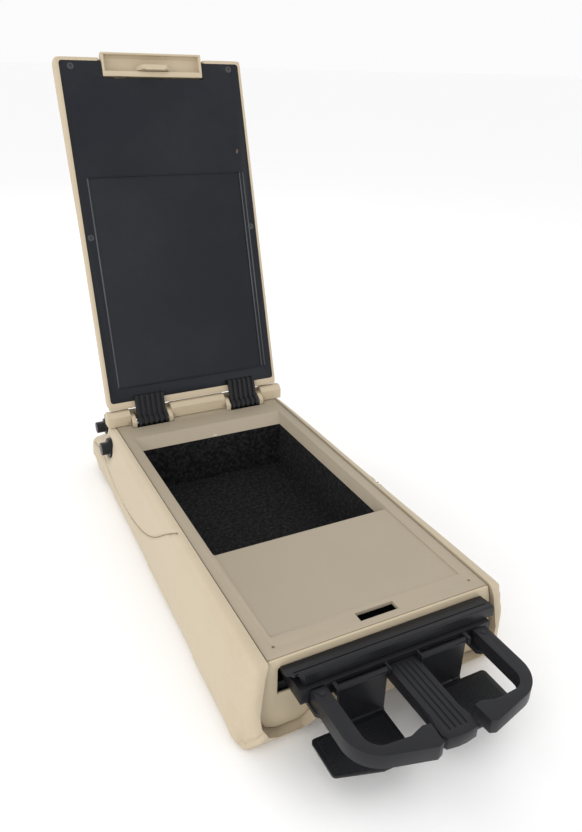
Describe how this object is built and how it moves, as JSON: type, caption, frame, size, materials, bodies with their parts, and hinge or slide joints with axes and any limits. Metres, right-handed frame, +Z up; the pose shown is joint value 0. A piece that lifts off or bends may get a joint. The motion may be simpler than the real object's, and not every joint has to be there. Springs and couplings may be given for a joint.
{
  "type": "rear seat armrest",
  "caption": "Upholstered rear seat armrest with an open hinged lid over a felt lined bin, and a pulled out folding cup holder with drop-down supports at its front.",
  "frame": {"origin": "on the flat underside, on the middle plane, 200 mm behind the front edge of the tray", "axes": "+X to the right as seen from the front, +Y from the cup holder towards the lid hinge, +Z up from the underside"},
  "size_m": [0.293, 0.7429, 0.5341],
  "materials": {
    "leather_beige": "fine grained, soft sheen",
    "plastic_beige": "fine textured, matt",
    "plastic_black": "satin moulded",
    "felt_black": "flocked felt",
    "foam": "moulded polyurethane foam",
    "steel_black": "black coated",
    "steel_bright": "plain"
  },
  "bodies": {
    "base": {"leather_cover": "leather_beige", "foam_body": "foam", "carrier_pan": "steel_black", "tray_frame": "plastic_beige", "bin_liner": "felt_black", "front_bezel": "plastic_beige", "cup_case": "plastic_black", "case_screws": "steel_bright", "roll_spring": "steel_bright", "push_catch": "plastic_black", "hinge_bar": "plastic_beige", "bar_screws": "steel_bright", "hinge_pin_left": "steel_bright", "hinge_pin_right": "steel_bright", "pivot_stud_left": "plastic_black", "pivot_stud_right": "plastic_black", "stop_peg_left": "plastic_black", "stop_peg_right": "plastic_black", "fascia_pin_left": "steel_bright", "fascia_pin_right": "steel_bright"},
    "lid": {"lid_leather": "leather_beige", "lid_foam": "foam", "lid_board": "plastic_black", "lid_panel": "plastic_black", "lid_screws": "steel_black", "hinge_arm_left": "plastic_black", "hinge_arm_right": "plastic_black", "latch_pin": "steel_bright", "latch_spring": "steel_bright"},
    "latch": {"latch_paddle": "plastic_beige"},
    "fascia": {"fascia_flap": "plastic_black"},
    "drawer": {"drawer_carriage": "plastic_black", "centre_spine": "plastic_black", "arm_pin_left": "steel_bright", "arm_pin_right": "steel_bright", "hanger_pin_left": "steel_bright", "hanger_pin_right": "steel_bright"},
    "arm_left": {"cup_arm_left": "plastic_black"},
    "arm_right": {"cup_arm_right": "plastic_black"},
    "hanger_left": {"support_hanger_left": "plastic_black", "foot_pin_left": "steel_bright"},
    "hanger_right": {"support_hanger_right": "plastic_black", "foot_pin_right": "steel_bright"},
    "foot_left": {"support_foot_left": "plastic_black"},
    "foot_right": {"support_foot_right": "plastic_black"}
  },
  "joints": [
    {"name": "lid_close", "type": "hinge", "parent": "base", "child": "lid", "pos_m": [0, 0.2587, 0.0932], "axis": [1, 0, 0], "range_deg": [0, 107]},
    {"name": "latch_pull", "type": "hinge", "parent": "lid", "child": "latch", "pos_m": [0, 0.3981, 0.5085], "axis": [-1, 0, 0], "range_deg": [0, 7], "stiffness_Nm_per_rad": 0.08},
    {"name": "fascia_lift", "type": "hinge", "parent": "base", "child": "fascia", "pos_m": [0, -0.1965, 0.0785], "axis": [-1, 0, 0], "range_deg": [0, 8]},
    {"name": "drawer_in", "type": "slide", "parent": "base", "child": "drawer", "axis": [0, 1, 0], "range_m": [0, 0.064]},
    {"name": "arm_left_out", "type": "hinge", "parent": "drawer", "child": "arm_left", "pos_m": [-0.083, -0.2365, 0.068], "axis": [0, 0, -1], "range_deg": [0, 8], "stiffness_Nm_per_rad": 0.15},
    {"name": "arm_right_out", "type": "hinge", "parent": "drawer", "child": "arm_right", "pos_m": [0.083, -0.2365, 0.068], "axis": [0, 0, 1], "range_deg": [0, 8], "stiffness_Nm_per_rad": 0.15},
    {"name": "hanger_left_fold", "type": "hinge", "parent": "drawer", "child": "hanger_left", "pos_m": [-0.042, -0.233, 0.07], "axis": [-1, 0, 0], "range_deg": [0, 74]},
    {"name": "hanger_right_fold", "type": "hinge", "parent": "drawer", "child": "hanger_right", "pos_m": [0.042, -0.233, 0.07], "axis": [-1, 0, 0], "range_deg": [0, 74]},
    {"name": "foot_left_fold", "type": "hinge", "parent": "hanger_left", "child": "foot_left", "pos_m": [-0.042, -0.233, 0.0255], "axis": [1, 0, 0], "range_deg": [0, 74]},
    {"name": "foot_right_fold", "type": "hinge", "parent": "hanger_right", "child": "foot_right", "pos_m": [0.042, -0.233, 0.0255], "axis": [1, 0, 0], "range_deg": [0, 74]}
  ],
  "couplings": [
    {"joint": "hanger_left_fold", "follows": "drawer_in", "rad_per_m": 20.1},
    {"joint": "hanger_right_fold", "follows": "drawer_in", "rad_per_m": 20.1},
    {"joint": "foot_left_fold", "follows": "drawer_in", "rad_per_m": 20.1},
    {"joint": "foot_right_fold", "follows": "drawer_in", "rad_per_m": 20.1}
  ]
}
